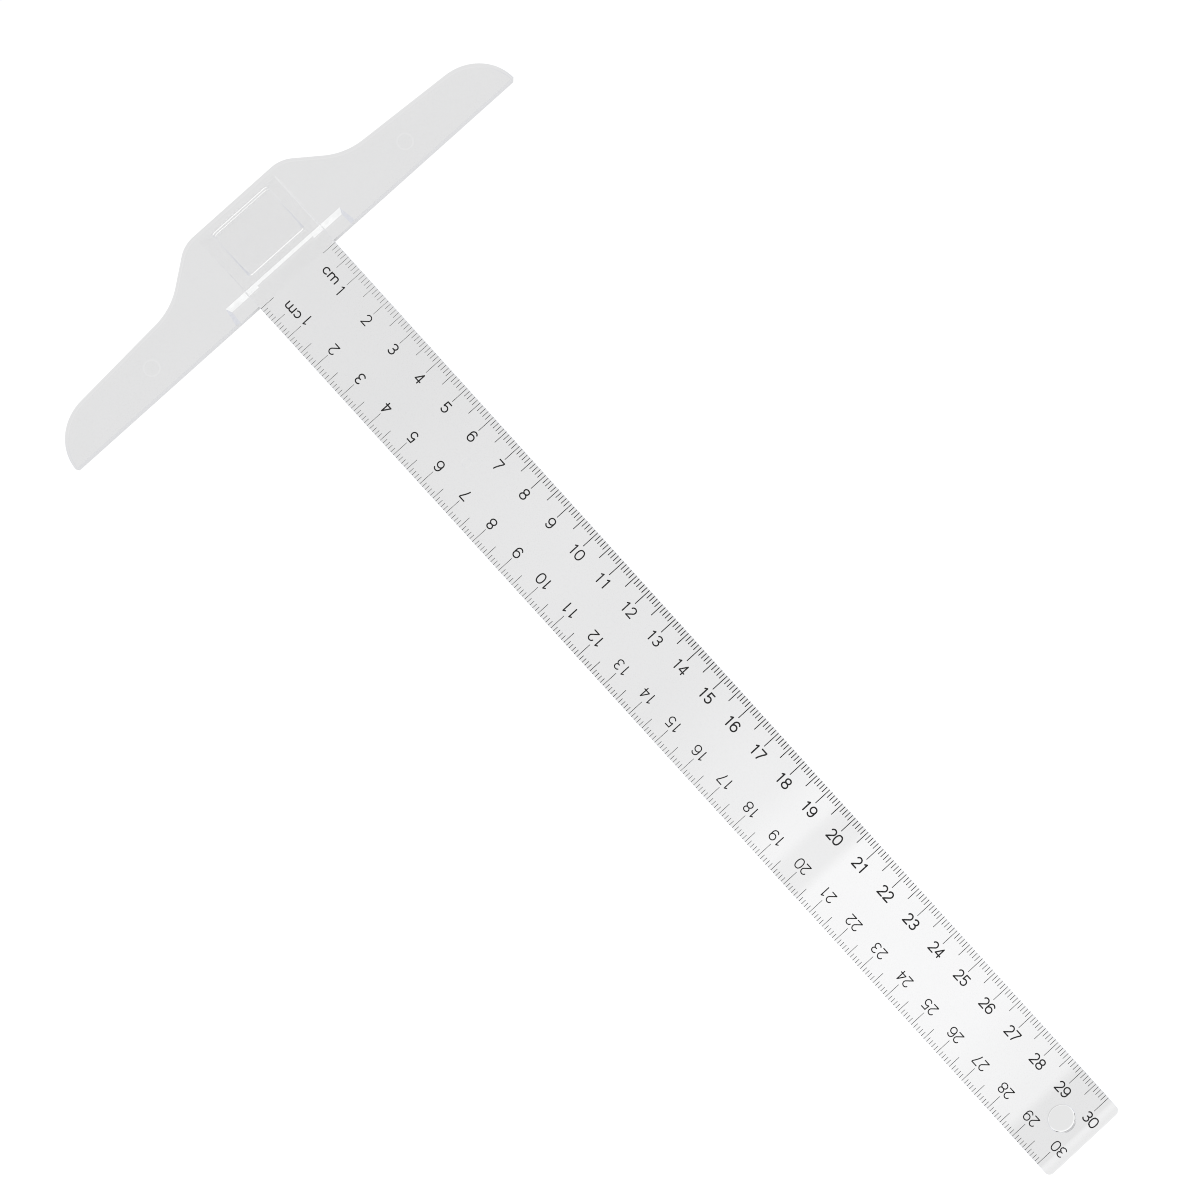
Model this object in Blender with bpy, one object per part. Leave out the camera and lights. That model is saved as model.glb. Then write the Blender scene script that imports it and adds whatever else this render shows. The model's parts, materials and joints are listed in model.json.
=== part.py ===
"""T-square of clear moulded plastic: a fixed-angle head and a slide-in blade.

Frame, in metres: +X runs along the blade from the head's working edge to the
tip, +Y runs along the head, +Z points up from the drawing board. The origin is
on the head's working face, on the blade's centre line, in the plane of the
paper (the blade's underside). The head reaches below that plane to hook on the
board. "Back" is towards -X, "front" towards +X.
Dimensions are in millimetres and angles in degrees; loft() scales to metres.
"""

import math

import bmesh
import bpy
from mathutils import Vector

MM = 0.001
SHARP_ANGLE = 28

# Blade
BLADE_WIDTH = 25.5
BLADE_HALF = BLADE_WIDTH / 2
BLADE_THICK = 1.8
BLADE_TIP = 305.1
BLADE_EDGE_BREAK = 0.12
TIP_RADIUS = 1.6
TIP_CORNER_STEPS = 7
TIP_BEVEL_LENGTH = 3.4
TIP_BEVEL_DROP = 0.75
HANG_HOLE_X = 295.95
HANG_HOLE_RADIUS = 3.7
HANG_HOLE_RIM = 0.15
HANG_HOLE_SIDES = 48

# Gate mark: a dimple in the blade's underside with a stub in it
GATE_X = 64.5
GATE_Y = -0.2
GATE_MOUTH_RADIUS = 1.65  # at GATE_MOUTH_Z, below the blade
GATE_MOUTH_Z = -0.3
GATE_FLOOR_RADIUS = 1.1
GATE_DEPTH = 0.16
GATE_SIDES = 24
STUB_LOW_RADIUS = 0.45
STUB_HIGH_RADIUS = 0.53
STUB_LOW_Z = 0.04
STUB_HIGH_Z = 0.6
STUB_SIDES = 16

# Tongue: the blade's root, dovetailed along its lower edges
TONGUE_END = -21.8
TONGUE_SHOULDER = 0.3
TONGUE_UNDERCUT = 0.5
TONGUE_RELIEF = 0.2

# Catch: a wedge on the tongue that rises from the back to the front
CATCH_BACK = -20.75
CATCH_FRONT = -7.4
CATCH_HALF_WIDTH = 9.2
CATCH_LOW = 0.16
CATCH_HIGH = 0.80
CATCH_FACE_LEAN = 0.05
CATCH_EMBED = 0.6  # how far the wedge reaches down into the tongue

# Shared by the catch and its recess in the head
CATCH_CORNER = 1.0
CATCH_CORNER_STEPS = 6
CATCH_DRAFT = 0.45
CATCH_LEAD = 0.26

# Head
HEAD_TOP = 3.8
HEAD_BOTTOM = -1.8
BACK_X = -23.75
BACK_FLAT_HALF = 13.25
SHOULDER_RADIUS = 9.4
SHOULDER_ANGLE = 36.5
SHOULDER_STEPS = 12
WAIST_RADIUS = 19.0
WAIST_STEPS = 14
ARM_ANGLE = 3.67
END_CENTRE_Y = 61.0
END_CENTRE_X = 0.6
END_SEMI_Y = 13.6
END_SEMI_X = 12.5
END_STEPS = 26
EDGE_BREAK = 0.15
EDGE_ROUND = 0.35
# Rounded upper edge: inset and drop below the top, as fractions of EDGE_ROUND
EDGE_ROUND_PROFILE = ((0.13, 0.5), (0.5, 0.13), (1.0, 0.0))

# Seat for the blade in the head
FIT = 0.2
SEAT_END = -22.05
BRIDGE_TOP = TONGUE_RELIEF - FIT
BRIDGE_BACK = -3.75
PLATE_UNDER = BLADE_THICK + FIT
OPENING_SIDE_STEP = 0.02  # the opening is this much narrower than the seat, each side
OPENING_TOP = 0.4

# Pocket in front of the head's top plate
RAMP_FOOT_X = -3.48
RAMP_HEAD_X = -4.77
POCKET_HALF_WIDTH = 18.72
POCKET_FLARE_FOOT = 0.15
POCKET_LEAN_BACK = 0.70
POCKET_LEAN_FRONT = 1.35

# Slot and recess for the catch, in the underside of the top plate
CATCH_SLOT_TOP = 2.72
CATCH_SLOT_HALF = 9.45
RECESS_BACK = -21.3
RECESS_FRONT = -6.35
RECESS_LOW_TOP = 2.17
RECESS_HIGH_TOP = 3.04
RECESS_FACE_LEAN = 0.70

# Round marks left by the moulding tool on the underside of each arm
PIN_MARK_X = -6.8
PIN_MARK_Y = 43.4
PIN_MARK_RADIUS = 2.25
PIN_MARK_DEPTH = 0.16
PIN_MARK_TAPER = 0.4  # loss of radius over the depth
PIN_MARK_SIDES = 24

# How far the cutters run past the surfaces they open
HEAD_CUTTER_FRONT = 1.0  # x at which cutters through the working face end
POCKET_OVERRUN = 0.5
OPENING_OVERRUN = 1
SLOT_OVERLAP = 1  # of the slot into the recess
PLATE_OVERLAP = 0.3  # of slot and recess into the seat
PIN_MARK_OVERRUN = 0.1
TONGUE_OVERRUN = 2  # behind the tongue and beside it
DOVETAIL_OVERRUN = 0.4
RELIEF_OVERRUN = 0.5
BEVEL_BACK_OVERRUN = 2
BEVEL_OVERRUN = 3  # past the tip and above the blade
HANG_HOLE_OVERRUN = 0.5


# Outlines and solids

def spaced(start, end, steps):
    return [start + (end - start) * i / steps for i in range(steps + 1)]


def arc(centre_x, centre_y, radius, start, end, steps):
    angles = [math.radians(angle) for angle in spaced(start, end, steps)]
    return [
        (centre_x + radius * math.cos(angle), centre_y + radius * math.sin(angle))
        for angle in angles
    ]


def circle(centre_x, centre_y, radius, sides):
    return arc(centre_x, centre_y, radius, 0, 360 - 360 / sides, sides - 1)


def trapezoid(back, half_back, front, half_front):
    return [(back, -half_back), (front, -half_front), (front, half_front), (back, half_back)]


def rounded_rectangle(back, front, half, radius, steps):
    corners = (
        (back + radius, -half + radius, 180),
        (front - radius, -half + radius, 270),
        (front - radius, half - radius, 0),
        (back + radius, half - radius, 90),
    )
    return [
        point
        for centre_x, centre_y, angle in corners
        for point in arc(centre_x, centre_y, radius, angle, angle + 90, steps)
    ]


def inset(outline, amount):
    """Moves each side of an anticlockwise outline inwards by amount(side's middle).

    Corners are mitred.
    """
    # Each side as its unit inward normal and its moved distance from the origin.
    sides = []
    for (x0, y0), (x1, y1) in zip(outline, outline[1:] + outline[:1]):
        length = math.hypot(x1 - x0, y1 - y0)
        normal_x, normal_y = -(y1 - y0) / length, (x1 - x0) / length
        step = amount((x0 + x1) / 2, (y0 + y1) / 2)
        sides.append((normal_x, normal_y, normal_x * x0 + normal_y * y0 + step))
    moved = []
    for i, (x, y) in enumerate(outline):
        x0, y0, distance0 = sides[i - 1]
        x1, y1, distance1 = sides[i]
        cross = x0 * y1 - y0 * x1
        if abs(cross) < 1e-6:
            # The sides are in line: slide the point along their normal.
            shift = distance0 - (x0 * x + y0 * y)
            moved.append((x + x0 * shift, y + y0 * shift))
        else:
            moved.append(
                (
                    (distance0 * y1 - distance1 * y0) / cross,
                    (x0 * distance1 - x1 * distance0) / cross,
                )
            )
    return moved


def loft(loops):
    """A solid through loops with the same number of points each, capped at both ends."""
    shape = bmesh.new()
    rings = [[shape.verts.new(Vector(point) * MM) for point in loop] for loop in loops]
    count = len(rings[0])
    for low, high in zip(rings, rings[1:]):
        for i in range(count):
            j = (i + 1) % count
            shape.faces.new((low[i], low[j], high[j], high[i]))
    shape.faces.new(list(reversed(rings[0])))
    shape.faces.new(rings[-1])
    return shape


def stack(*layers):
    """A solid through layers, each an (x, y) outline and its height."""
    return loft([[(x, y, z) for x, y in outline] for outline, z in layers])


def box(back, front, half_width, low, high):
    plan = trapezoid(back, half_width, front, half_width)
    return stack((plan, low), (plan, high))


def bar(section, back, front):
    """A (y, z) section drawn out along X."""
    return loft([[(x, y, z) for y, z in section] for x in (back, front)])


def wedge(back, front, half_width, base, foot, top_back, top_front, front_lean):
    """A block with rounded corners whose top slopes from top_back to top_front.

    Above foot its sides lean in by CATCH_DRAFT per unit of height. Its back end
    leans in by CATCH_LEAD in all and its front end by front_lean; both fade out
    round the corners.
    """

    def top(x):
        return top_back + (top_front - top_back) * (x - back) / (front - back)

    def lean(x, y):
        side = CATCH_DRAFT * (top(x) - foot)
        back_share = max(0.0, 1 - (x - back) / CATCH_CORNER) ** 2
        front_share = max(0.0, 1 - (front - x) / CATCH_CORNER) ** 2
        return side + (CATCH_LEAD - side) * back_share + (front_lean - side) * front_share

    plan = rounded_rectangle(back, front, half_width, CATCH_CORNER, CATCH_CORNER_STEPS)
    return loft(
        [
            [(x, y, base) for x, y in plan],
            [(x, y, foot) for x, y in plan],
            [(x, y, top(x)) for x, y in inset(plan, lean)],
        ]
    )


def tongue_half_width(z):
    """Half the dovetailed tongue's width at height z."""
    return BLADE_HALF - TONGUE_UNDERCUT * (1 - z / BLADE_THICK)


# Scene objects

def clear_scene():
    for obj in list(bpy.data.objects):
        bpy.data.objects.remove(obj, do_unlink=True)


def clear_plastic(name, colour, roughness):
    material = bpy.data.materials.new(name)
    material.use_nodes = True
    settings = {
        "Base Color": (*colour, 1.0),
        "Roughness": roughness,
        "Metallic": 0.0,
        "IOR": 1.49,  # acrylic
        "Transmission Weight": 0.9,  # mostly see-through
    }
    shader = material.node_tree.nodes["Principled BSDF"]
    for socket, value in settings.items():
        shader.inputs[socket].default_value = value
    return material


def object_from(name, shape, material=None):
    bmesh.ops.recalc_face_normals(shape, faces=shape.faces)
    if shape.calc_volume(signed=True) < 0:
        bmesh.ops.reverse_faces(shape, faces=shape.faces)
    mesh = bpy.data.meshes.new(name)
    shape.to_mesh(mesh)
    shape.free()
    mesh.shade_smooth()
    mesh.set_sharp_from_angle(angle=math.radians(SHARP_ANGLE))
    if material:
        mesh.materials.append(material)
    obj = bpy.data.objects.new(name, mesh)
    bpy.context.collection.objects.link(obj)
    return obj


def combine(target, name, shape, operation):
    """Adds a boolean modifier to target, with the shape as its hidden helper."""
    tool = object_from(target.name + "_" + name, shape)
    tool.hide_render = True
    tool.display_type = "WIRE"
    modifier = target.modifiers.new(name, "BOOLEAN")
    modifier.operation = operation
    modifier.solver = "EXACT"
    modifier.object = tool


def cut(target, name, shape):
    combine(target, name, shape, "DIFFERENCE")


def join(target, name, shape):
    combine(target, name, shape, "UNION")


# Head

def head_half_outline():
    """The half with y above 0, from the back flat's end to the working edge's end."""
    shoulder_angle = math.radians(SHOULDER_ANGLE)
    arm_angle = math.radians(ARM_ANGLE)

    # Shoulder: from the flat back edge round to the sloping flank.
    shoulder = [
        (
            BACK_X + SHOULDER_RADIUS * (1 - math.cos(angle)),
            BACK_FLAT_HALF + SHOULDER_RADIUS * math.sin(angle),
        )
        for angle in spaced(0, shoulder_angle, SHOULDER_STEPS)
    ]

    # End: part of an ellipse, from where its slope equals the arm's to the working edge.
    end_start = math.atan(math.tan(arm_angle) * END_SEMI_Y / END_SEMI_X)
    end_stop = math.acos(END_CENTRE_X / END_SEMI_X)
    end = [
        (
            END_CENTRE_X - END_SEMI_X * math.cos(angle),
            END_CENTRE_Y + END_SEMI_Y * math.sin(angle),
        )
        for angle in spaced(end_start, end_stop, END_STEPS)
    ]
    end[-1] = (0.0, end[-1][1])

    # Flank: straight, as long as it takes for the waist to end on the arm's line.
    shoulder_x, shoulder_y = shoulder[-1]
    end_x, end_y = end[0]
    waist_run_x = WAIST_RADIUS * (math.cos(arm_angle) - math.cos(shoulder_angle))
    waist_run_y = WAIST_RADIUS * (math.sin(shoulder_angle) - math.sin(arm_angle))
    arm_slope = math.tan(arm_angle)
    gap = end_x - shoulder_x - waist_run_x - arm_slope * (end_y - shoulder_y - waist_run_y)
    flank = gap / (math.sin(shoulder_angle) - arm_slope * math.cos(shoulder_angle))

    # Waist: from the flank round to the arm.
    centre_x = shoulder_x + flank * math.sin(shoulder_angle)
    centre_x -= WAIST_RADIUS * math.cos(shoulder_angle)
    centre_y = shoulder_y + flank * math.cos(shoulder_angle)
    centre_y += WAIST_RADIUS * math.sin(shoulder_angle)
    waist = [
        (centre_x + WAIST_RADIUS * math.cos(angle), centre_y - WAIST_RADIUS * math.sin(angle))
        for angle in spaced(shoulder_angle, arm_angle, WAIST_STEPS)
    ]
    return shoulder + waist + end


def head_body():
    """The head without its cuts: edges broken below and rounded above."""
    half = head_half_outline()
    # Anticlockwise from above: from the +Y end along the back to the -Y end.
    outline = list(reversed(half)) + [(x, -y) for x, y in half]

    def rim(amount):
        """The outline inset all round, except along the working edge at x = 0."""
        return inset(outline, lambda x, y: 0.0 if x > -1e-6 else amount)

    return stack(
        (rim(EDGE_BREAK), HEAD_BOTTOM),
        (outline, HEAD_BOTTOM + EDGE_BREAK),
        (outline, HEAD_TOP - EDGE_ROUND),
        *(
            (rim(inward * EDGE_ROUND), HEAD_TOP - drop * EDGE_ROUND)
            for inward, drop in EDGE_ROUND_PROFILE
        ),
    )


def pocket_cutter():
    """The step in front of the top plate: a ramp at the back, ends flaring to the front."""
    depth = HEAD_TOP - BLADE_THICK
    # The cutter carries the pocket's slopes on past the head's top and working face.
    rise = (depth + POCKET_OVERRUN) / depth
    stretch = (HEAD_CUTTER_FRONT - RAMP_FOOT_X) / -RAMP_FOOT_X
    high_back = RAMP_FOOT_X + (RAMP_HEAD_X - RAMP_FOOT_X) * rise
    front_lean = POCKET_LEAN_BACK + (POCKET_LEAN_FRONT - POCKET_LEAN_BACK) * stretch
    low = trapezoid(
        RAMP_FOOT_X,
        POCKET_HALF_WIDTH,
        HEAD_CUTTER_FRONT,
        POCKET_HALF_WIDTH + POCKET_FLARE_FOOT * stretch,
    )
    high = trapezoid(
        high_back,
        POCKET_HALF_WIDTH + POCKET_LEAN_BACK * rise,
        HEAD_CUTTER_FRONT,
        POCKET_HALF_WIDTH + front_lean * rise,
    )
    return stack((low, BLADE_THICK), (high, HEAD_TOP + POCKET_OVERRUN))


def seat_cutter():
    """The tongue's dovetail with the fit added."""
    low_half = tongue_half_width(BRIDGE_TOP) + FIT
    high_half = tongue_half_width(PLATE_UNDER) + FIT
    section = [
        (-low_half, BRIDGE_TOP),
        (low_half, BRIDGE_TOP),
        (high_half, PLATE_UNDER),
        (-high_half, PLATE_UNDER),
    ]
    return bar(section, SEAT_END, HEAD_CUTTER_FRONT)


def opening_cutter():
    """The underside is open below the tongue, behind the bridge that carries the blade."""
    half = tongue_half_width(BRIDGE_TOP) + FIT - OPENING_SIDE_STEP
    return box(SEAT_END, BRIDGE_BACK, half, HEAD_BOTTOM - OPENING_OVERRUN, OPENING_TOP)


def slot_cutter():
    """A shallow slot under the plate that the catch runs through when the blade slides."""
    return box(
        RECESS_FRONT - SLOT_OVERLAP,
        HEAD_CUTTER_FRONT,
        CATCH_SLOT_HALF,
        PLATE_UNDER - PLATE_OVERLAP,
        CATCH_SLOT_TOP,
    )


def recess_cutter():
    """The hollow above the catch."""
    return wedge(
        back=RECESS_BACK,
        front=RECESS_FRONT,
        half_width=CATCH_SLOT_HALF,
        base=PLATE_UNDER - PLATE_OVERLAP,
        foot=PLATE_UNDER,
        top_back=RECESS_LOW_TOP,
        top_front=RECESS_HIGH_TOP,
        front_lean=RECESS_FACE_LEAN,
    )


def pin_mark_cutter(y):
    flare = PIN_MARK_OVERRUN * PIN_MARK_TAPER / PIN_MARK_DEPTH
    levels = (
        (PIN_MARK_RADIUS + flare, HEAD_BOTTOM - PIN_MARK_OVERRUN),
        (PIN_MARK_RADIUS - PIN_MARK_TAPER, HEAD_BOTTOM + PIN_MARK_DEPTH),
    )
    return stack(*((circle(PIN_MARK_X, y, radius, PIN_MARK_SIDES), z) for radius, z in levels))


def build_head(material):
    head = object_from("head", head_body(), material)
    cut(head, "front_pocket", pocket_cutter())
    cut(head, "blade_seat", seat_cutter())
    cut(head, "underside_opening", opening_cutter())
    cut(head, "catch_slot", slot_cutter())
    cut(head, "catch_recess", recess_cutter())
    cut(head, "pin_mark_left", pin_mark_cutter(PIN_MARK_Y))
    cut(head, "pin_mark_right", pin_mark_cutter(-PIN_MARK_Y))


# Blade

def blade_body():
    """Tongue and blade in one strip, with rounded tip corners and broken edges."""
    corner_x = BLADE_TIP - TIP_RADIUS
    corner_y = BLADE_HALF - TIP_RADIUS
    outline = (
        [(TONGUE_END, -BLADE_HALF)]
        + arc(corner_x, -corner_y, TIP_RADIUS, 270, 360, TIP_CORNER_STEPS)
        + arc(corner_x, corner_y, TIP_RADIUS, 0, 90, TIP_CORNER_STEPS)
        + [(TONGUE_END, BLADE_HALF)]
    )
    broken = inset(outline, lambda x, y: BLADE_EDGE_BREAK)
    return stack(
        (broken, 0.0),
        (outline, BLADE_EDGE_BREAK),
        (outline, BLADE_THICK - BLADE_EDGE_BREAK),
        (broken, BLADE_THICK),
    )


def dovetail_cutter(side):
    """Leans one side of the tongue in towards its underside; side is 1 at +Y, -1 at -Y."""
    low, high = -DOVETAIL_OVERRUN, BLADE_THICK + DOVETAIL_OVERRUN
    outer = side * (BLADE_HALF + TONGUE_OVERRUN)
    section = [
        (side * tongue_half_width(low), low),
        (outer, low),
        (outer, high),
        (side * tongue_half_width(high), high),
    ]
    return bar(section, TONGUE_END - TONGUE_OVERRUN, TONGUE_SHOULDER)


def relief_cutter():
    """Raises the tongue's underside above the blade's."""
    back = TONGUE_END - TONGUE_OVERRUN
    return box(back, TONGUE_SHOULDER, BLADE_WIDTH, -RELIEF_OVERRUN, TONGUE_RELIEF)


def catch_wedge():
    return wedge(
        back=CATCH_BACK,
        front=CATCH_FRONT,
        half_width=CATCH_HALF_WIDTH,
        base=BLADE_THICK - CATCH_EMBED,
        foot=BLADE_THICK,
        top_back=BLADE_THICK + CATCH_LOW,
        top_front=BLADE_THICK + CATCH_HIGH,
        front_lean=CATCH_FACE_LEAN,
    )


def tip_bevel_cutter():
    """The tip slopes down over its last few millimetres."""
    slope = TIP_BEVEL_DROP / TIP_BEVEL_LENGTH
    back = BLADE_TIP - TIP_BEVEL_LENGTH - BEVEL_BACK_OVERRUN
    front = BLADE_TIP + BEVEL_OVERRUN
    above = BLADE_THICK + BEVEL_OVERRUN
    section = [
        (back, BLADE_THICK + BEVEL_BACK_OVERRUN * slope),
        (front, BLADE_THICK - (TIP_BEVEL_LENGTH + BEVEL_OVERRUN) * slope),
        (front, above),
        (back, above),
    ]
    return loft([[(x, y, z) for x, z in section] for y in (-BLADE_WIDTH, BLADE_WIDTH)])


def hanging_hole_cutter():
    """A round hole with both rims broken at 45 degrees."""
    flared = HANG_HOLE_RADIUS + HANG_HOLE_RIM + HANG_HOLE_OVERRUN
    levels = (
        (flared, -HANG_HOLE_OVERRUN),
        (HANG_HOLE_RADIUS, HANG_HOLE_RIM),
        (HANG_HOLE_RADIUS, BLADE_THICK - HANG_HOLE_RIM),
        (flared, BLADE_THICK + HANG_HOLE_OVERRUN),
    )
    return stack(*((circle(HANG_HOLE_X, 0, radius, HANG_HOLE_SIDES), z) for radius, z in levels))


def gate_cone(low_radius, low, high_radius, high, sides):
    return stack(
        (circle(GATE_X, GATE_Y, low_radius, sides), low),
        (circle(GATE_X, GATE_Y, high_radius, sides), high),
    )


def build_blade(material):
    dimple = (GATE_MOUTH_RADIUS, GATE_MOUTH_Z, GATE_FLOOR_RADIUS, GATE_DEPTH, GATE_SIDES)
    stub = (STUB_LOW_RADIUS, STUB_LOW_Z, STUB_HIGH_RADIUS, STUB_HIGH_Z, STUB_SIDES)
    blade = object_from("blade", blade_body(), material)
    cut(blade, "dovetail_left", dovetail_cutter(1))
    cut(blade, "dovetail_right", dovetail_cutter(-1))
    cut(blade, "tongue_relief", relief_cutter())
    join(blade, "catch", catch_wedge())
    cut(blade, "tip_bevel", tip_bevel_cutter())
    cut(blade, "hanging_hole", hanging_hole_cutter())
    cut(blade, "gate_dimple", gate_cone(*dimple))
    join(blade, "gate_stub", gate_cone(*stub))


def main():
    clear_scene()
    head_plastic = clear_plastic("head_plastic", colour=(0.80, 0.82, 0.84), roughness=0.06)
    blade_plastic = clear_plastic("blade_plastic", colour=(0.82, 0.84, 0.86), roughness=0.04)
    build_head(head_plastic)
    build_blade(blade_plastic)


main()
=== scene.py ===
"""A clear plastic T-square on a pale table.

The blade runs along +X with its width along Y and its printed underside at z = 0; the head crosses
it at the low-X end. This script adds materials, printed scales, table, light and camera to the CAD.
"""

import json
import math
from functools import cache
from types import SimpleNamespace

import bmesh
import bpy
import numpy as np
from mathutils import Matrix, Vector
from mathutils.geometry import delaunay_2d_cdt


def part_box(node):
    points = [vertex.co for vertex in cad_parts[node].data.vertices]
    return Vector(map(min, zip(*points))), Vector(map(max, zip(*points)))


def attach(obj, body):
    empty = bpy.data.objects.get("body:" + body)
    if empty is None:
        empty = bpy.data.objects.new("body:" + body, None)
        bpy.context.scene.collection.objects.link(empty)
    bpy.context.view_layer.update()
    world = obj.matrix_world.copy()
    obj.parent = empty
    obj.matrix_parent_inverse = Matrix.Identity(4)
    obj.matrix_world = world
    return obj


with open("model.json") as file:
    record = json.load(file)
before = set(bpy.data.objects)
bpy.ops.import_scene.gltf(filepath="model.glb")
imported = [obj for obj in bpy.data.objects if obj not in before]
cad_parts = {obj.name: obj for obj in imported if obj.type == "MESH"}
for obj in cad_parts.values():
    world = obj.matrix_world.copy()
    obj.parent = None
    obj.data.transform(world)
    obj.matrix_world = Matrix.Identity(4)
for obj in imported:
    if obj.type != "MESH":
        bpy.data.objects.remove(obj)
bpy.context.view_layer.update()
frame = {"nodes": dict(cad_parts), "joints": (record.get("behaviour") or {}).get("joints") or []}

MM = 0.001


head_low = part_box("head")[0]
blade_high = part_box("blade")[1]

# ---------------------------------------------------------------- node helpers


class Nodes:
    """Short calls for building a node tree."""

    def __init__(self, tree):
        self.tree = tree
        tree.nodes.clear()

    def add(self, kind, inputs=None, **settings):
        """Add a node; inputs maps socket names or numbers to values or to sockets to link."""
        node = self.tree.nodes.new(kind)
        for name, value in settings.items():
            setattr(node, name, value)
        for key, value in (inputs or {}).items():
            if isinstance(value, bpy.types.NodeSocket):
                self.tree.links.new(value, node.inputs[key])
            elif value is not None:
                node.inputs[key].default_value = value
        return node

    def math(self, operation, a, b=None, clamp=False):
        return self.add("ShaderNodeMath", {0: a, 1: b}, operation=operation, use_clamp=clamp).outputs[0]

    def product(self, first, *others):
        for other in others:
            first = self.math("MULTIPLY", first, other)
        return first

    def span(self, value, limits, to=(0.0, 1.0), smooth=True):
        """Carry value from the range limits to the range to, held at both ends."""
        inputs = {
            "Value": value,
            "From Min": limits[0],
            "From Max": limits[1],
            "To Min": to[0],
            "To Max": to[1],
        }
        kind = "SMOOTHSTEP" if smooth else "LINEAR"
        node = self.add("ShaderNodeMapRange", inputs, interpolation_type=kind, clamp=True)
        return node.outputs["Result"]

    def mix(self, factor, a, b):
        """Colour a at factor 0 and b at factor 1."""
        a, b = ((*v, 1.0) if isinstance(v, tuple) else v for v in (a, b))
        node = self.add("ShaderNodeMix", data_type="RGBA", inputs={"Factor": factor, 6: a, 7: b})
        return node.outputs[2]

    def noise(self, vector, scale, detail=2.0, roughness=0.5, distortion=0.0):
        inputs = {
            "Vector": vector,
            "Scale": scale,
            "Detail": detail,
            "Roughness": roughness,
            "Distortion": distortion,
        }
        return self.add("ShaderNodeTexNoise", inputs).outputs["Fac"]

    def axes(self, vector):
        return self.add("ShaderNodeSeparateXYZ", {0: vector}).outputs

    def object_place(self, **settings):
        return self.add("ShaderNodeTexCoord", **settings).outputs["Object"]

    def bump(self, height, strength, distance):
        inputs = {"Height": height, "Strength": strength, "Distance": distance}
        return self.add("ShaderNodeBump", inputs).outputs[0]

    def shader(self, kind, inputs=None):
        return self.add("ShaderNode" + kind, inputs).outputs[0]

    def blend(self, factor, a, b):
        """Shader a at factor 0 and b at factor 1."""
        return self.shader("MixShader", {0: factor, 1: a, 2: b})


def new_material(name):
    material = bpy.data.materials.new(name)
    material.use_nodes = True
    return material, Nodes(material.node_tree)


# ---------------------------------------------------------------- clear plastic

# Per part: tint of the flats, and how the mould's flow waves are scaled along x, y and z.
PLASTICS = {
    "head": {"tint": (0.740, 0.740, 0.743), "flow": (1.6, 0.35, 1.0)},
    "blade": {"tint": (0.738, 0.738, 0.741), "flow": (0.30, 1.5, 1.0)},
}
WHITE = (1.0, 1.0, 1.0)

# Colours where the eye's ray enters: painted highlights on the slopes, breaking up towards the pocket
# ends, painted shade on rear slopes and painted cool shade on side walls.
SLOPE_HIGHLIGHT = (0.90, 0.91, 0.91)
BROKEN_SLOPE_HIGHLIGHT = (0.79, 0.80, 0.80)
REAR_SLOPE_SHADE = (0.56, 0.56, 0.57)
SIDE_WALL_SHADE = (0.47, 0.485, 0.545)
SATIN = (0.80, 0.80, 0.81, 1.0)

# Colours of the painted lines of light and shade that stand for inner walls seen from above; over 1
# they are painted highlights, the catch glint the brightest, and under 1 painted cool shade.
LINE_HIGHLIGHT = (1.035, 1.035, 1.035)
CATCH_GLINT = (1.36, 1.36, 0.99 * 1.36)
COOL_REAR_SHADE = (0.98, 0.983, 0.993)
COOL_FORWARD_SHADE = (0.89, 0.90, 0.94)
SEAT_LINE_HIGHLIGHT = (1.03, 1.03, 1.03)

# Places in each part's own axes.
BROKEN_HIGHLIGHT_FROM_TO = (12.5 * MM, 14.0 * MM)  # distance aside over which the painted slope highlight breaks up
COOL_SHADE_FROM_TO = (-19.0 * MM, -8.0 * MM)  # x over which the painted cool shade lines deepen
CATCH_Z = 1.805 * MM  # the catch's walls lie above this
CATCH_HALF_WIDTH = 11.0 * MM
SEAT_Y = 11.0 * MM  # the seat's walls lie beyond this
SEAT_X = -4.8 * MM  # and behind this


def sort_faces(nodes):
    """Masks, 0 to 1, that sort a part's faces by slope and heading, with places and ray state."""
    face = SimpleNamespace()
    face.position = nodes.object_place()
    normal = nodes.axes(nodes.add("ShaderNodeNewGeometry").outputs["Normal"])
    upright = nodes.math("ABSOLUTE", normal["Z"])
    face.endward = nodes.math("ABSOLUTE", normal["X"])
    face.sideward = nodes.math("ABSOLUTE", normal["Y"])
    face.rearward = nodes.math("LESS_THAN", normal["X"], 0.0)
    face.slanted = nodes.span(upright, limits=(0.90, 0.985), to=(1.0, 0.0))
    face.sheer = nodes.span(upright, limits=(0.285, 0.325), to=(1.0, 0.0))
    face.sidewall = nodes.product(face.slanted, nodes.span(face.sideward, limits=(0.40, 0.80)))
    face.x, face.y, face.z = nodes.axes(face.position)
    face.aside = nodes.math("ABSOLUTE", face.y)
    face.path = nodes.add("ShaderNodeLightPath").outputs
    # The ray has not yet passed through any plastic.
    face.first = nodes.math("LESS_THAN", face.path["Transmission Depth"], 0.5)
    return face


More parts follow.
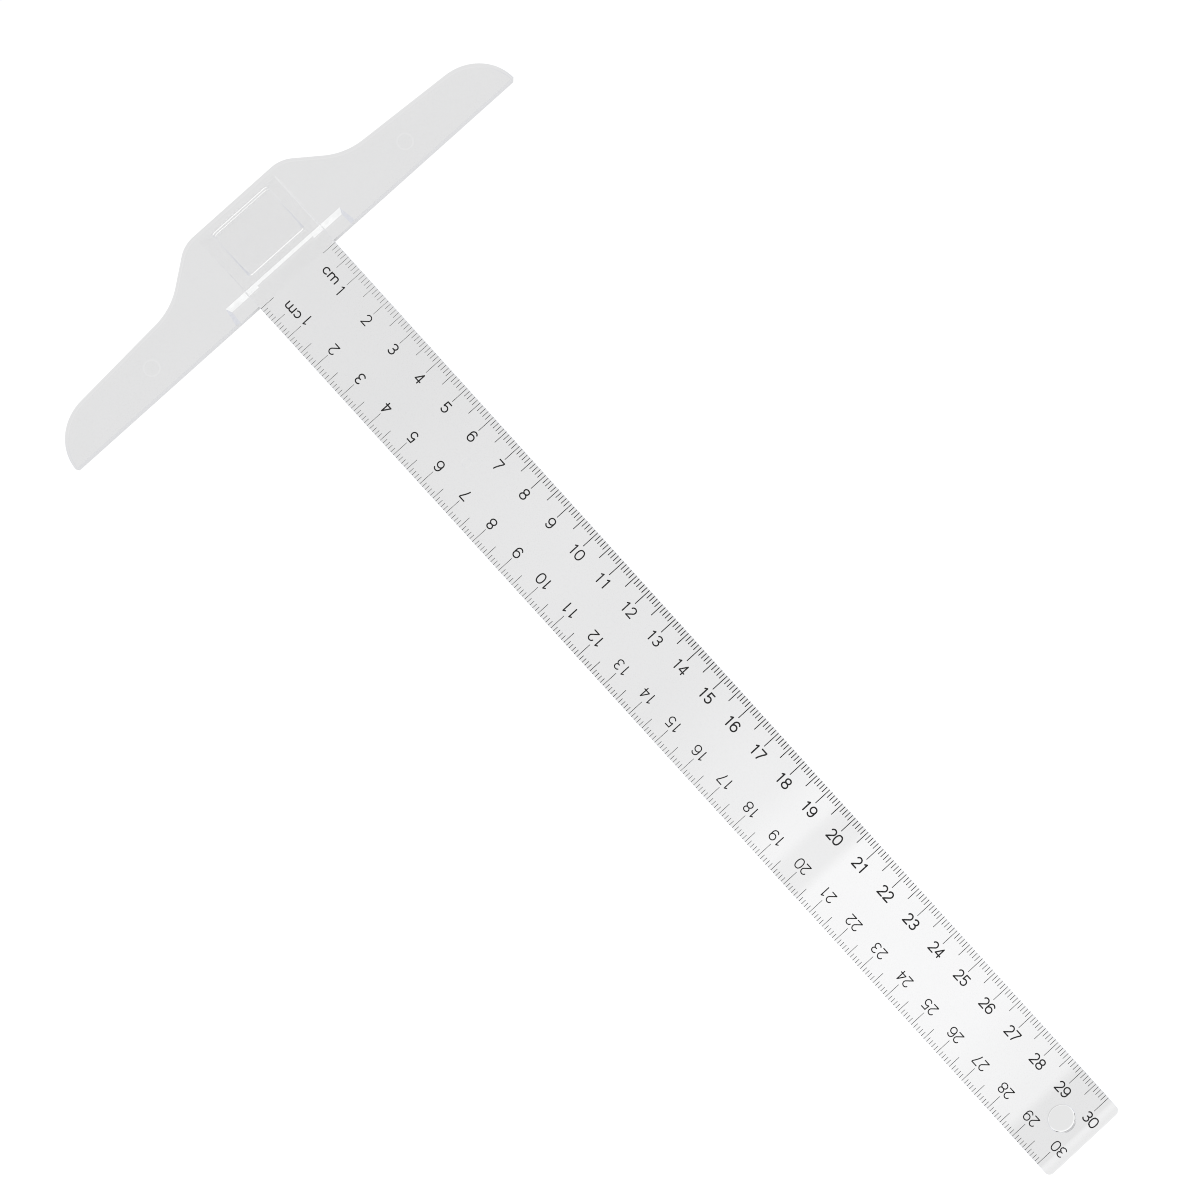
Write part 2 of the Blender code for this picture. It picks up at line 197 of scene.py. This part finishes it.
def entry_colour(nodes, face, tint, mottle):
    """Smoky flats, painted cool shade on side walls, painted shade on rear slopes and painted
    highlights on the other slopes, coloured only where the eye's ray enters.
    """
    darker, lighter = (tuple(gain * v * v for v in tint) for gain in (0.99, 1.01))
    tone = nodes.mix(nodes.span(mottle, limits=(0.3, 0.7), smooth=False), darker, lighter)
    flecks = nodes.noise(face.position, scale=330.0, detail=2.0, roughness=0.55)
    broken_highlight = nodes.product(
        nodes.span(flecks, limits=(0.42, 0.58)),
        nodes.span(face.aside, limits=BROKEN_HIGHLIGHT_FROM_TO),
    )
    # pale is the slopes' painted highlight, breaking into flecks towards the pocket ends.
    pale = nodes.mix(broken_highlight, SLOPE_HIGHLIGHT, BROKEN_SLOPE_HIGHLIGHT)
    # Rear-facing slopes take painted shade in place of the highlight.
    slope = nodes.mix(face.rearward, pale, REAR_SLOPE_SHADE)
    outer = nodes.mix(face.slanted, tone, slope)
    # Side walls take painted cool shade.
    outer = nodes.mix(face.sidewall, outer, SIDE_WALL_SHADE)
    return nodes.mix(face.first, WHITE, outer)


def plastic_bump(nodes, position, flow):
    """Flow waves from the mould, long across the part, under a fine polish texture."""
    stretched = nodes.add("ShaderNodeMapping", {"Scale": flow, "Vector": position}).outputs[0]
    waves = nodes.noise(stretched, scale=60.0, detail=1.5, roughness=0.4, distortion=0.6)
    polish = nodes.noise(position, scale=2600.0, detail=2.0, roughness=0.6)
    polish_share = 0.02
    height = nodes.math("ADD", waves, nodes.math("MULTIPLY", polish, polish_share))
    return nodes.bump(height, strength=0.35, distance=0.03 * MM)


def plastic_roughness(nodes, position, mottle):
    """A mottled gloss with faint hairline wear along the blade."""
    hair_inputs = {
        "Scale": (12.0, 900.0, 60.0),
        "Rotation": (0.0, 0.0, 0.06),
        "Vector": position,
    }
    hair_place = nodes.add("ShaderNodeMapping", hair_inputs).outputs[0]
    hair_noise = nodes.noise(hair_place, scale=1.0, detail=3.0, roughness=0.65)
    hair = nodes.span(hair_noise, limits=(0.62, 0.76))
    hair_roughness = 0.02
    gloss = nodes.span(mottle, limits=(0.25, 0.75), to=(0.008, 0.022))
    return nodes.math("ADD", gloss, nodes.math("MULTIPLY", hair, hair_roughness))


def inner_lines(nodes, face):
    """Colour of the painted lines of light and cool shade that stand for walls inside the part."""

    def over_catch():
        return nodes.math("GREATER_THAN", face.z, CATCH_Z)

    endwall = nodes.product(face.slanted, nodes.span(face.endward, limits=(0.35, 0.60)))
    # Painted highlight lines, brightest as the glint over the catch.
    lines = nodes.mix(nodes.product(endwall, over_catch()), LINE_HIGHLIGHT, CATCH_GLINT)
    # Painted cool shade lines, deeper towards the front.
    cool = nodes.mix(nodes.span(face.x, limits=COOL_SHADE_FROM_TO), COOL_REAR_SHADE, COOL_FORWARD_SHADE)
    lines = nodes.mix(face.sidewall, lines, cool)
    lines = nodes.mix(face.sheer, lines, WHITE)
    # A painted highlight line along the seat's walls.
    by_seat = nodes.product(
        face.sheer,
        nodes.math("GREATER_THAN", face.y, SEAT_Y),
        nodes.math("LESS_THAN", face.x, SEAT_X),
        nodes.span(face.sideward, limits=(0.80, 0.95)),
    )
    lines = nodes.mix(by_seat, lines, SEAT_LINE_HIGHLIGHT)
    within_catch = nodes.math("LESS_THAN", face.aside, CATCH_HALF_WIDTH)
    by_catch = nodes.product(within_catch, over_catch())
    return nodes.mix(nodes.product(face.sidewall, by_catch), lines, cool)


def hidden_walls(nodes, face):
    """Where walls give way to painted lines of light and shade: inner slopes and outer flanks, seen
    steeply.
    """
    incoming = nodes.axes(nodes.add("ShaderNodeNewGeometry").outputs["Incoming"])
    steep = nodes.span(nodes.math("ABSOLUTE", incoming["Z"]), limits=(0.75, 0.92))
    inner_slope = nodes.product(face.slanted, nodes.math("SUBTRACT", 1.0, face.first))
    flank = nodes.product(face.sheer, nodes.span(face.sideward, limits=(0.40, 0.80)))
    outer_flank = nodes.product(flank, face.first)
    return nodes.product(nodes.math("ADD", inner_slope, outer_flank, clamp=True), steep)


def clear_plastic(name, tint, flow):
    """Clear moulded plastic: smoky once, where the eye's ray first enters, with painted highlights and
    shade on its slopes and walls; lamps pass freely.
    """
    material, nodes = new_material(name)
    face = sort_faces(nodes)
    mottle = nodes.noise(face.position, scale=55.0, detail=2.0, roughness=0.45)
    body_inputs = {
        "Base Color": entry_colour(nodes, face, tint, mottle),
        "Roughness": plastic_roughness(nodes, face.position, mottle),
        "IOR": 1.49,
        "Transmission Weight": 1.0,
        "Normal": plastic_bump(nodes, face.position, flow),
    }
    body = nodes.shader("BsdfPrincipled", body_inputs)
    # The sheer faces across the blade keep the satin of the mould's parting walls.
    satin = nodes.shader("BsdfDiffuse", {"Color": SATIN})
    faced = nodes.product(face.sheer, nodes.span(face.endward, limits=(0.80, 0.95)), face.first)
    edges = nodes.blend(faced, body, satin)
    # Inner walls seen steeply are drawn as painted lines of light and shade.
    faint = nodes.shader("BsdfTransparent", {"Color": inner_lines(nodes, face)})
    walls = nodes.blend(hidden_walls(nodes, face), edges, faint)
    clear = nodes.shader("BsdfTransparent")
    surface = nodes.blend(face.path["Is Shadow Ray"], walls, clear)
    nodes.add("ShaderNodeOutputMaterial", {"Surface": surface})
    return material


# ---------------------------------------------------------------- ink


def ink_material():
    """Printed ink: near black, with the slightly uneven cover of a hot-stamped film."""
    material, nodes = new_material("scale_ink")
    position = nodes.object_place()
    patch = nodes.noise(position, scale=420.0, detail=2.0, roughness=0.6)
    grain = nodes.noise(position, scale=5200.0, detail=2.0, roughness=0.6)
    patch_share, grain_share = 0.7, 0.3
    cover = nodes.math(
        "ADD",
        nodes.math("MULTIPLY", patch, patch_share),
        nodes.math("MULTIPLY", grain, grain_share),
    )
    dense, thin = (0.003, 0.003, 0.0035), (0.013, 0.013, 0.015)
    body_inputs = {
        "Base Color": nodes.mix(nodes.span(cover, limits=(0.35, 0.70)), dense, thin),
        "Roughness": nodes.span(grain, limits=(0.3, 0.7), to=(0.42, 0.62)),
        "Specular IOR Level": 0.05,  # bonded to the plastic, so it hardly shines
        "Normal": nodes.bump(grain, strength=0.4, distance=0.004 * MM),
    }
    body = nodes.shader("BsdfPrincipled", body_inputs)
    nodes.add("ShaderNodeOutputMaterial", {"Surface": body})
    return material


# ---------------------------------------------------------------- printed scale
# Lengths here are millimetres in the blade's own axes.

INK_TOP, INK_BOTTOM = 0.004, -0.010  # heights about the blade's underside
SCALE_CM = 30
TICKS_PER_CM = 10
TICK_START = 0.51
TICK_PITCH = 1.0
TICK_CAP_STEPS = 6
BLADE_HALF = 12.75
EDGE_GAP = 0.12
CAP_HEIGHT = 2.74
LOWER_CASE_HEIGHT = 1.66
DIGIT_ADVANCE = 2.25
LAST_NUMBER_SHIFT = 1.0  # the last number stands this far past its tick
UNIT_X = 6.05
UNIT_RISE = 1.35  # the unit's base line beyond the numbers'
UNIT_OFFSETS = (-1.62, 0.87)
UNIT_STROKE = 0.36

# Glyph outlines: sampling step, margin round the ink, straightening tolerance, shortest loop kept.
GRID_STEP = 0.03
GRID_MARGIN = 0.08
OUTLINE_TOLERANCE = 0.0035
SHORTEST_LOOP = 9

# The print is heavier over the middle. side: +1 at the +Y edge, -1 turned round at the -Y edge.
# base: numbers' base line; mm, half, cm, zero: how far each tick reaches in from the edge.
# widths: (tick number, tick width); strokes: (last number, its stroke).
UPPER = {
    "side": 1,
    "base": 4.05,
    "mm": 2.0,
    "half": 4.1,
    "cm": 5.15,
    "zero": 4.15,
    "widths": (
        (0, 0.10), (20, 0.10), (60, 0.165), (120, 0.26), (190, 0.25), (240, 0.17), (300, 0.15),
    ),
    "strokes": ((2, 0.30), (4, 0.35), (14, 0.36), (23, 0.415), (30, 0.375)),
}
LOWER = {
    "side": -1,
    "base": 4.60,
    "mm": 1.55,
    "half": 3.65,
    "cm": 4.7,
    "zero": 4.4,
    "widths": (
        (0, 0.11), (60, 0.13), (100, 0.14), (120, 0.185), (160, 0.13), (200, 0.15), (300, 0.14),
    ),
    "strokes": ((2, 0.32), (12, 0.355), (30, 0.31)),
}


def arc(centre, radii, start, end, power=2.0, steps=28):
    """Points on a superellipse arc, angles in degrees anticlockwise from +x."""
    points = []
    for i in range(steps + 1):
        angle = math.radians(start + (end - start) * i / steps)
        turn = (math.cos(angle), math.sin(angle))
        x, y = (
            middle + radius * math.copysign(abs(part) ** (2 / power), part)
            for middle, radius, part in zip(centre, radii, turn)
        )
        points.append((x, y))
    return points


def glyph_strokes():
    """Centre lines of a plain round-ended drafting letter.

    x runs from the cell's middle and y from the base line; each glyph is a list of polylines.
    """
    top = CAP_HEIGHT
    low_top = LOWER_CASE_HEIGHT
    arch = 0.56
    return {
        "0": [arc((0, top / 2), (0.90, top / 2), 0, 360, 2.35, 64)],
        "1": [[(-0.40, top - 0.42), (0.14, top - 0.04), (0.14, 0.0)]],
        "2": [arc((0.0, top - 0.80), (0.78, 0.80), 158, -38) + [(-0.80, 0.0), (0.80, 0.0)]],
        "3": [
            arc((-0.02, top - 0.66), (0.74, 0.66), 150, -78, 2.1) + [(-0.16, top - 1.33)],
            [(-0.16, top - 1.33)] + arc((-0.02, 0.72), (0.80, 0.72), 80, -148, 2.1),
        ],
        "4": [[(0.36, 0.0), (0.36, top), (-0.90, 0.68), (0.84, 0.68)]],
        "5": [
            [(0.66, top), (-0.64, top), (-0.72, 1.42)]
            + arc((0.0, 0.84), (0.82, 0.84), 136, -146),
        ],
        "6": [
            arc((0.0, 0.84), (0.84, 0.84), 0, 360, 2.1, 48),
            arc((0.02, top - 0.96), (0.86, 0.96), 36, 180) + [(-0.84, 0.84)],
        ],
        "7": [
            [(-0.84, top), (0.82, top), (0.78, top - 0.34)]
            + [
                (-0.30 + 1.08 * (1 - t) ** 1.35, (top - 0.34) * (1 - t))
                for t in np.linspace(0.06, 1, 14)
            ]
        ],
        "8": [
            arc((0, top - 0.65), (0.74, 0.65), 0, 360, 2.1, 44),
            arc((0, 0.72), (0.84, 0.72), 0, 360, 2.1, 48),
        ],
        "9": [
            arc((0.0, top - 0.84), (0.84, 0.84), 0, 360, 2.1, 48),
            [(0.84, top - 0.84)] + arc((-0.02, 0.96), (0.86, 0.96), 0, -144),
        ],
        "c": [arc((0.0, low_top / 2), (0.80, low_top / 2), 48, 312, 2.1, 36)],
        "m": [
            [(-1.27, 0.0), (-1.27, low_top)],
            arc((-0.635, low_top - arch), (0.635, arch), 180, 0, 2.4, 20) + [(0.0, 0.0)],
            arc((0.635, low_top - arch), (0.635, arch), 180, 0, 2.4, 20) + [(1.27, 0.0)],
        ],
    }


LETTERS = glyph_strokes()


def stroke_distance(strokes, xs, ys):
    """Distance from each grid point to the nearest centre line."""
    grid_x, grid_y = np.meshgrid(xs, ys)
    best = np.full(grid_x.shape, 1e9)
    for line in strokes:
        for (ax, ay), (bx, by) in zip(line, line[1:]):
            dx, dy = bx - ax, by - ay
            squared = dx * dx + dy * dy
            if squared < 1e-12:
                continue
            t = np.clip(((grid_x - ax) * dx + (grid_y - ay) * dy) / squared, 0, 1)
            best = np.minimum(best, np.hypot(grid_x - ax - t * dx, grid_y - ay - t * dy))
    return best


def contours(field, xs, ys, level):
    """Closed loops round the places where field is below level."""
    inside = field < level
    rows, columns = field.shape

    def crossing(start, end):
        before, after = field[start] - level, field[end] - level
        t = before / (before - after)
        (row_0, column_0), (row_1, column_1) = start, end
        return (
            xs[column_0] + (xs[column_1] - xs[column_0]) * t,
            ys[row_0] + (ys[row_1] - ys[row_0]) * t,
        )

    following = {}
    points = {}
    for r in range(rows - 1):
        for c in range(columns - 1):
            corners = ((r, c), (r, c + 1), (r + 1, c + 1), (r + 1, c))
            state = [bool(inside[corner]) for corner in corners]
            for i in range(4):
                if not state[i] or state[(i + 1) % 4]:
                    continue
                # Pair this way out with the next way in, going round the cell.
                j = (i + 1) % 4
                while state[j] or not state[(j + 1) % 4]:
                    j = (j + 1) % 4
                way_out = (corners[i], corners[(i + 1) % 4])
                way_in = (corners[j], corners[(j + 1) % 4])
                for edge in (way_out, way_in):
                    points[frozenset(edge)] = crossing(*edge)
                following[frozenset(way_out)] = frozenset(way_in)
    loops = []
    left = set(following)
    while left:
        key = min(left, key=lambda edge: points[edge])
        loop = []
        while key in left:
            left.discard(key)
            loop.append(points[key])
            key = following[key]
        loops.append(loop)
    return loops


def simplified(loop, tolerance):
    """Douglas-Peucker on a closed loop."""
    points = np.array(loop)

    def kept_between(first, last):
        if last - first < 2:
            return []
        start = points[first]
        chord = points[last % len(points)] - start
        length = np.hypot(*chord)
        offsets = points[first + 1 : last] - start
        if length < 1e-12:
            away = np.hypot(*offsets.T)
        else:
            away = abs(chord[0] * offsets[:, 1] - chord[1] * offsets[:, 0]) / length
        worst = int(away.argmax())
        if away[worst] <= tolerance:
            return []
        k = first + 1 + worst
        return kept_between(first, k) + [k] + kept_between(k, last)

    half = len(points) // 2
    keep = [0] + kept_between(0, half) + [half] + kept_between(half, len(points))
    return [tuple(points[k]) for k in keep]


@cache
def glyph(letter, stroke):
    """The letter as a flat triangulated plate: (points, triangles)."""
    strokes = LETTERS[letter]
    half_stroke = stroke / 2
    line_points = np.array([point for line in strokes for point in line])
    pad = half_stroke + GRID_MARGIN
    xs, ys = (
        np.arange(values.min() - pad, values.max() + pad, GRID_STEP) for values in line_points.T
    )
    field = stroke_distance(strokes, xs, ys)
    outline, edges = [], []
    for loop in contours(field, xs, ys, half_stroke):
        if len(loop) < SHORTEST_LOOP:
            continue
        loop = simplified(loop, OUTLINE_TOLERANCE)
        base, count = len(outline), len(loop)
        outline += [Vector(point) for point in loop]
        edges += [(base + i, base + (i + 1) % count) for i in range(count)]
    points, _, faces, _, _, _ = delaunay_2d_cdt(outline, edges, [], 0, 1e-9)
    kept = []
    for face in faces:
        middle = sum((points[i] for i in face), Vector((0.0, 0.0))) / len(face)
        near = stroke_distance(strokes, np.array([middle.x]), np.array([middle.y]))[0, 0]
        if near < half_stroke:
            kept.append(tuple(face))
    return [tuple(point) for point in points], kept


class Print:
    """Collects closed flat prisms and makes one mesh object of them."""

    def __init__(self):
        self.points, self.faces = [], []

    def plate(self, plan, faces):
        """A prism between the ink's two heights on plan points joined by faces."""
        base = len(self.points)
        count = len(plan)
        for height in (INK_BOTTOM, INK_TOP):
            self.points += [(x, y, height) for x, y in plan]
        (ax, ay), (bx, by), (cx, cy) = (plan[i] for i in faces[0][:3])
        clockwise = (bx - ax) * (cy - ay) - (by - ay) * (cx - ax) < 0
        outline = {}
        for face in faces:
            face = list(face)[::-1] if clockwise else list(face)
            self.faces.append([base + count + i for i in face])
            self.faces.append([base + i for i in reversed(face)])
            for a, b in zip(face, face[1:] + face[:1]):
                if (b, a) in outline:
                    del outline[(b, a)]
                else:
                    outline[(a, b)] = True
        for a, b in outline:
            self.faces.append([base + a, base + b, base + count + b, base + count + a])

    def bar(self, x, y_edge, y_end, width):
        """A tick: a flat bar from the blade's edge, rounded at its inner end."""
        way = 1 if y_end > y_edge else -1
        radius = width / 2
        plan = [(x - radius, y_edge), (x + radius, y_edge)]
        for i in range(TICK_CAP_STEPS + 1):
            angle = math.pi * i / TICK_CAP_STEPS
            y = y_end - way * radius + way * radius * math.sin(angle)
            plan.append((x + radius * math.cos(angle), y))
        if way < 0:
            plan.reverse()
        self.plate(plan, [tuple(range(len(plan)))])

    def write(self, text, x_middle, y_base, offsets, stroke, side):
        for letter, offset in zip(text, offsets):
            points, triangles = glyph(letter, stroke)
            plan = [(x_middle + side * (x + offset), side * (y_base + y)) for x, y in points]
            self.plate(plan, triangles)

    def object(self, name, material):
        mesh = bpy.data.meshes.new(name)
        mesh.from_pydata([Vector(point) * MM for point in self.points], [], self.faces)
        mesh.update()
        used = bmesh.new()
        used.from_mesh(mesh)
        loose = [v for v in used.verts if not v.link_faces]
        bmesh.ops.delete(used, geom=loose, context="VERTS")
        bmesh.ops.recalc_face_normals(used, faces=used.faces)
        used.to_mesh(mesh)
        used.free()
        mesh.materials.append(material)
        obj = bpy.data.objects.new(name, mesh)
        bpy.context.scene.collection.objects.link(obj)
        return obj


def tick_kind(index):
    if index == 0:
        return "zero"
    if index % TICKS_PER_CM == 0:
        return "cm"
    return "half" if index % (TICKS_PER_CM // 2) == 0 else "mm"


def ticks(name, scale, ink):
    sheet = Print()
    side = scale["side"]
    places, widths = zip(*scale["widths"])
    for i in range(SCALE_CM * TICKS_PER_CM + 1):
        sheet.bar(
            x=TICK_START + i * TICK_PITCH,
            y_edge=side * (BLADE_HALF - EDGE_GAP),
            y_end=side * (BLADE_HALF - scale[tick_kind(i)]),
            width=float(np.interp(i, places, widths)),
        )
    return sheet.object(name, ink)


def numerals(name, scale, ink):
    """Numbers inward of the centimetre ticks, and the unit."""
    sheet = Print()
    side, base = scale["side"], scale["base"]
    for number in range(1, SCALE_CM + 1):
        x = TICK_START + TICKS_PER_CM * TICK_PITCH * number
        if number == SCALE_CM:
            x += LAST_NUMBER_SHIFT
        stroke = next(width for last, width in scale["strokes"] if number <= last)
        offsets = (0.0,) if number < 10 else (-DIGIT_ADVANCE / 2, DIGIT_ADVANCE / 2)
        sheet.write(str(number), x, base, offsets, stroke, side)
    sheet.write("cm", UNIT_X, base + UNIT_RISE, UNIT_OFFSETS, UNIT_STROKE, side)
    return sheet.object(name, ink)


def print_scales():
    ink = ink_material()
    printed = [
        ticks("scale_ticks_upper", UPPER, ink),
        ticks("scale_ticks_lower", LOWER, ink),
        numerals("scale_numerals_upper", UPPER, ink),
        numerals("scale_numerals_lower", LOWER, ink),
    ]
    for piece in printed:
        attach(piece, "blade")


# ---------------------------------------------------------------- head and blade

SHARP_ANGLE = math.radians(12)
WELD_DISTANCE = 0.001 * MM


def smooth_shading(angle):
    """A geometry group that shades faces smooth and keeps edges over the angle sharp."""
    group = bpy.data.node_groups.new("smooth_shading", "GeometryNodeTree")
    for in_out in ("INPUT", "OUTPUT"):
        group.interface.new_socket("Geometry", in_out=in_out, socket_type="NodeSocketGeometry")
    nodes = Nodes(group)
    start = nodes.add("NodeGroupInput").outputs[0]
    plain = nodes.add(
        "GeometryNodeRemoveAttribute", {"Geometry": start, "Name": "custom_normal"}
    ).outputs["Geometry"]
    faces = nodes.add(
        "GeometryNodeSetShadeSmooth", {"Geometry": plain, "Shade Smooth": True}, domain="FACE"
    ).outputs["Geometry"]
    turn = nodes.add("GeometryNodeInputMeshEdgeAngle").outputs["Unsigned Angle"]
    edge_inputs = {
        "Geometry": faces,
        "Selection": nodes.math("GREATER_THAN", turn, angle),
        "Shade Smooth": False,
    }
    edges = nodes.add("GeometryNodeSetShadeSmooth", edge_inputs, domain="EDGE")
    nodes.add("NodeGroupOutput", {0: edges.outputs["Geometry"]})
    return group


def finish_parts():
    """Plastic and soft shading on the two CAD parts."""
    smooth_group = smooth_shading(SHARP_ANGLE)
    for part, look in PLASTICS.items():
        obj = frame["nodes"][part]
        material = clear_plastic(part + "_clear_plastic", **look)
        # A part may come without any slot.
        if not obj.material_slots:
            obj.data.materials.append(material)
        for slot in obj.material_slots:
            slot.material = material
        joined = obj.modifiers.new("joined", "WELD")
        joined.merge_threshold = WELD_DISTANCE
        softened = obj.modifiers.new("softened", "NODES")
        softened.node_group = smooth_group
        shading = obj.modifiers.new("shading", "WEIGHTED_NORMAL")
        shading.keep_sharp = True
        shading.weight = 100


# ---------------------------------------------------------------- table

TABLE_SIZE = 14.0
TABLE_GAP = 0.02 * MM
TABLE_GLOW = 1.04
# The pool of light: (from, to, change of strength), millimetres along the blade.
POOL = (
    (30.0, 100.0, 0.060),
    (140.0, 180.0, 0.085),
    (178.0, 191.0, 0.075),
    (193.5, 197.5, -0.095),
    (203.5, 207.5, 0.130),
    (258.0, 276.0, -0.050),
    (276.0, 286.0, -0.030),
    (286.5, 290.5, -0.135),
    (301.6, 302.4, 0.110),
    (302.8, 304.2, -0.060),
)
# The blade's hanging hole: its centre, the radii its shade fades between, and the light left.
HOLE_X = 295.95 * MM
HOLE_FADE = (3.3 * MM, 3.9 * MM)
HOLE_SHADE = 0.735


def table_material():
    """A pale glowing top that holds no shadow, with stronger light under the blade's far half."""
    material, nodes = new_material("pale_table")
    position = nodes.object_place()
    # Both the pool and the shaded hole keep to the blade wherever it slides.
    x, y, _ = nodes.axes(nodes.object_place(object=frame["nodes"]["blade"]))
    strength = TABLE_GLOW
    for low, high, amount in POOL:
        change = nodes.span(x, limits=(low * MM, high * MM), to=(0.0, amount))
        strength = nodes.math("ADD", strength, change)
    # The smoky blade shades the table inside its hanging hole.
    across = nodes.math("POWER", y, 2.0)
    along = nodes.math("POWER", nodes.math("SUBTRACT", x, HOLE_X), 2.0)
    away = nodes.math("SQRT", nodes.math("ADD", along, across))
    strength = nodes.product(strength, nodes.span(away, limits=HOLE_FADE, to=(HOLE_SHADE, 1.0)))
    cool_white = (0.995, 0.997, 1.0)
    tone = nodes.mix(nodes.noise(position, scale=3.0, detail=2.0), WHITE, cool_white)
    glow = nodes.shader("Emission", {"Color": tone, "Strength": strength})
    # From below the table is clear, so the square's underside can be seen.
    clear = nodes.shader("BsdfTransparent")
    backfacing = nodes.add("ShaderNodeNewGeometry").outputs["Backfacing"]
    surface = nodes.blend(backfacing, glow, clear)
    nodes.add("ShaderNodeOutputMaterial", {"Surface": surface})
    return material


def build_table():
    """The head's underside and the blade's tip rest on it, with room for the blade to slide out."""
    travel = frame["joints"][0]["range_m"][1]
    slope = math.atan2(0.0 - head_low.z, blade_high.x + travel)
    bpy.ops.mesh.primitive_grid_add(x_subdivisions=8, y_subdivisions=8, size=TABLE_SIZE)
    table = bpy.context.object
    table.name = "table"
    table.rotation_euler = (0.0, -slope, 0.0)
    table.location = (0.0, 0.0, head_low.z - TABLE_GAP)
    table.data.materials.append(table_material())


# ---------------------------------------------------------------- light, camera, render

SKY_SIDES = (0.74, 0.76, 0.83)
SKY_ENDS = (0.86, 0.86, 0.86)
SKY_OVERHEAD = (0.76, 0.76, 0.76)
SKY_SEEN = (1.06, 1.06, 1.06)  # what the camera itself sees

CAMERA_AT = Vector((0.08857, -0.01504, 0.51557))
CAMERA_RIGHT = Vector((0.67047642, 0.73977213, 0.05655588))
CAMERA_DOWN = Vector((0.74032837, -0.67208904, 0.01449942))


def studio_world():
    """A soft studio: an even light box overhead, brighter ends and slightly dimmer, cooler sides."""
    world = bpy.data.worlds.new("studio")
    bpy.context.scene.world = world
    world.use_nodes = True
    nodes = Nodes(world.node_tree)
    x, y, z = nodes.axes(nodes.add("ShaderNodeTexCoord").outputs["Generated"])
    # Round the horizon: bright at both ends of the blade's axis, dim and cool to either side.
    level = nodes.math("ADD", nodes.product(x, x), nodes.product(y, y))
    never_zero = nodes.math("MAXIMUM", level, 1e-4)
    endwise = nodes.math("DIVIDE", nodes.product(x, x), never_zero)
    ring = nodes.mix(nodes.span(endwise, limits=(0.25, 0.8)), SKY_SIDES, SKY_ENDS)
    # Overhead: one even light box, whose reflection on the flats is as bright as the flats.
    sky = nodes.mix(nodes.span(z, limits=(0.30, 0.50)), ring, SKY_OVERHEAD)
    camera_ray = nodes.add("ShaderNodeLightPath").outputs["Is Camera Ray"]
    seen = nodes.mix(camera_ray, sky, SKY_SEEN)
    light = nodes.shader("Background", {"Color": seen, "Strength": 1.0})
    nodes.add("ShaderNodeOutputWorld", {"Surface": light})


def build_camera():
    """A camera above the square, looking down."""
    view = CAMERA_RIGHT.cross(CAMERA_DOWN).normalized()
    right = (CAMERA_RIGHT - view * CAMERA_RIGHT.dot(view)).normalized()
    up = right.cross(view)
    lens = bpy.data.cameras.new("camera")
    lens.sensor_width = 36.0
    lens.lens = 60.0
    lens.clip_start = 0.01
    lens.clip_end = 50.0
    camera = bpy.data.objects.new("camera", lens)
    rotation = Matrix((right, up, -view)).transposed()
    camera.matrix_world = Matrix.Translation(CAMERA_AT) @ rotation.to_4x4()
    bpy.context.scene.collection.objects.link(camera)
    bpy.context.scene.camera = camera


def set_render():
    """Plain colour, and enough bounces to pass through every wall of the plastic."""
    scene = bpy.context.scene
    scene.view_settings.view_transform = "Standard"
    scene.view_settings.look = "None"
    cycles = scene.cycles
    cycles.caustics_refractive = False
    cycles.caustics_reflective = False
    cycles.max_bounces = 40
    cycles.glossy_bounces = 40
    cycles.transmission_bounces = 40
    cycles.transparent_max_bounces = 24
    cycles.filter_width = 1.0


print_scales()
finish_parts()
build_table()
studio_world()
build_camera()
set_render()
